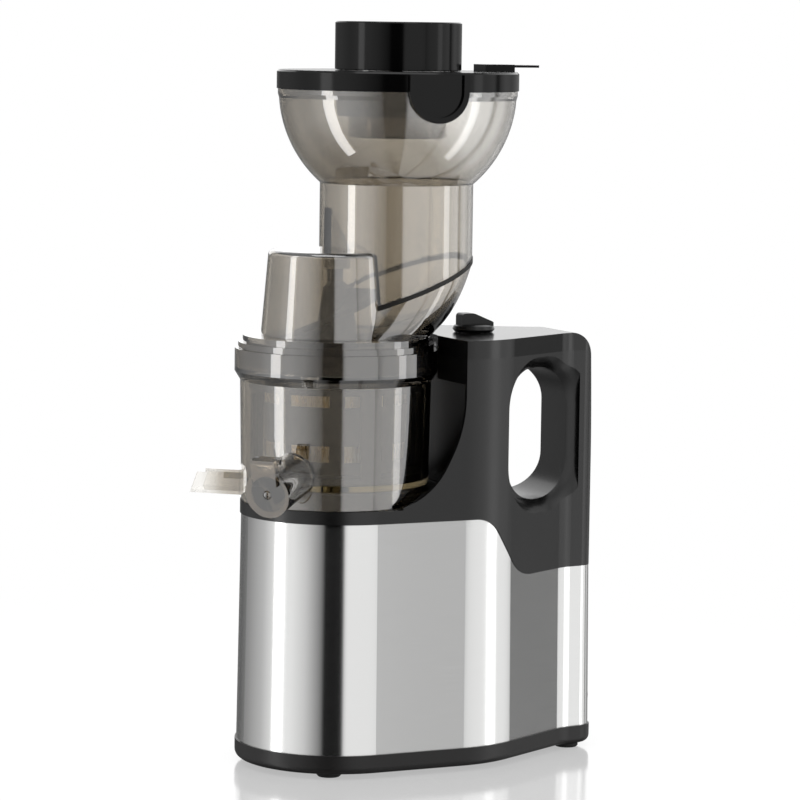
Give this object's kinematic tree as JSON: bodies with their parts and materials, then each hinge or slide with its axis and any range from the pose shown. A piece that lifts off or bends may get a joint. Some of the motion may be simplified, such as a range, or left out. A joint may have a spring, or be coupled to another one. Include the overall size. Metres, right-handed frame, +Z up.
{
  "type": "cold press juicer",
  "caption": "Upright cold press juicer with a brushed steel base, a smoked juicing drum with spouts, and a wide bowl hopper with a lift-out pusher.",
  "frame": {"origin": "on the drum and auger axis, at the table under the feet", "axes": "+Z up along the auger; -Y to the front, where juice and pulp run out; +Y to the handle; +X to the juice spout's side"},
  "size_m": [0.1638, 0.2721, 0.4872],
  "materials": {
    "dark_plastic": "fine texture, charcoal",
    "rubber": "matte black",
    "brushed_steel": "satin, brushed upright",
    "black_plastic": "semi-gloss black",
    "cover_plastic": "gloss black",
    "motor_steel": "zinc grey",
    "core_iron": "laminated",
    "winding_copper": "enamelled copper",
    "shaft_steel": "ground steel",
    "gear_steel": "sintered steel",
    "gear_plastic": "natural white",
    "gearbox_alloy": "die cast",
    "silicone": "dark silicone",
    "screw_steel": "zinc plated",
    "board": "green laminate",
    "switch_plastic": "black",
    "knob_plastic": "semi-gloss black",
    "smoked_plastic": "smoked clear",
    "cap_plastic": "smoked translucent",
    "strainer_plastic": "dark brown",
    "mesh_metal": "fine gold screen",
    "brush_plastic": "dark brown",
    "auger_plastic": "dark",
    "rim_plastic": "gloss black",
    "stem_plastic": "dark smoked"
  },
  "bodies": {
    "base": {"base_tray": "dark_plastic", "rubber_feet": "rubber", "steel_wrap": "brushed_steel", "upper_housing": "black_plastic", "top_cover": "cover_plastic", "motor_can": "motor_steel", "stator_core": "core_iron", "stator_windings": "winding_copper", "gearbox_case": "gearbox_alloy", "gearbox_lid": "gearbox_alloy", "shaft_bearings": "shaft_steel", "shaft_seal": "silicone", "gearbox_screws": "screw_steel", "housing_screws": "screw_steel", "circuit_board": "board", "cord_gland": "dark_plastic", "rotary_switch": "switch_plastic"},
    "rotor": {"rotor_core": "core_iron", "motor_shaft": "shaft_steel", "motor_pinion": "gear_steel", "cooling_fan": "gear_plastic"},
    "counter": {"counter_wheel": "gear_plastic", "counter_pinion": "gear_steel", "counter_shaft": "shaft_steel"},
    "drive": {"output_gear": "gear_steel", "drive_shaft": "shaft_steel"},
    "knob": {"control_knob": "knob_plastic", "switch_spindle": "gear_plastic"},
    "drum": {"juicing_drum": "smoked_plastic", "juice_spout": "smoked_plastic", "pulp_chute": "smoked_plastic", "drum_gasket": "silicone", "cap_hinge_pin": "dark_plastic", "strainer_frame": "strainer_plastic", "strainer_mesh": "mesh_metal"},
    "spout_cap": {"juice_cap": "cap_plastic", "cap_plug": "silicone"},
    "brush": {"brush_frame": "brush_plastic", "wiper_blades": "silicone"},
    "idler": {"idler_gear": "gear_plastic"},
    "auger": {"auger_screw": "auger_plastic", "auger_insert": "shaft_steel"},
    "lid": {"drum_lid": "smoked_plastic", "lid_dome": "smoked_plastic", "auger_bush": "gear_plastic", "chute_seal": "silicone", "hopper": "smoked_plastic"},
    "cover": {"hopper_cover": "rim_plastic"},
    "pusher": {"pusher_cap": "rim_plastic", "pusher_stem": "stem_plastic"}
  },
  "joints": [
    {"name": "rotor_spin", "type": "hinge", "parent": "base", "child": "rotor", "pos_m": [0, 0.062, 0.08], "axis": [0, 0, 1], "continuous": true},
    {"name": "counter_spin", "type": "hinge", "parent": "base", "child": "counter", "pos_m": [0.01703, 0.0355, 0.14], "axis": [0, 0, 1], "continuous": true},
    {"name": "drive_spin", "type": "hinge", "parent": "base", "child": "drive", "pos_m": [0, 0, 0.14], "axis": [0, 0, 1], "continuous": true},
    {"name": "knob_turn", "type": "hinge", "parent": "base", "child": "knob", "pos_m": [0, 0.1, 0.285], "axis": [0, 0, 1], "range_deg": [-45, 45]},
    {"name": "drum_lift", "type": "slide", "parent": "base", "child": "drum", "axis": [0, 0, 1], "range_m": [0, 0.16]},
    {"name": "cap_hinge", "type": "hinge", "parent": "drum", "child": "spout_cap", "pos_m": [0.06152, -0.07332, 0.20932], "axis": [-0.766, -0.6428, 0], "range_deg": [0, 110]},
    {"name": "brush_spin", "type": "hinge", "parent": "drum", "child": "brush", "pos_m": [0, 0, 0.22], "axis": [0, 0, 1], "continuous": true},
    {"name": "idler_spin", "type": "hinge", "parent": "drum", "child": "idler", "pos_m": [0, 0.02125, 0.192], "axis": [0, 0, 1], "continuous": true},
    {"name": "auger_spin", "type": "hinge", "parent": "drum", "child": "auger", "pos_m": [0, 0, 0.25], "axis": [0, 0, 1], "continuous": true},
    {"name": "lid_twist", "type": "hinge", "parent": "drum", "child": "lid", "pos_m": [0, 0, 0.28], "axis": [0, 0, 1], "range_deg": [0, 30]},
    {"name": "cover_lift", "type": "slide", "parent": "lid", "child": "cover", "axis": [0, 0, 1], "range_m": [0, 0.06]},
    {"name": "pusher_slide", "type": "slide", "parent": "cover", "child": "pusher", "axis": [0, 0, 1], "range_m": [0, 0.12]}
  ],
  "couplings": [
    {"joint": "counter_spin", "follows": "rotor_spin", "ratio": -0.25},
    {"joint": "drive_spin", "follows": "rotor_spin", "ratio": 0.071429},
    {"joint": "auger_spin", "follows": "rotor_spin", "ratio": 0.071429},
    {"joint": "idler_spin", "follows": "rotor_spin", "ratio": -0.10204},
    {"joint": "brush_spin", "follows": "rotor_spin", "ratio": -0.029762}
  ]
}
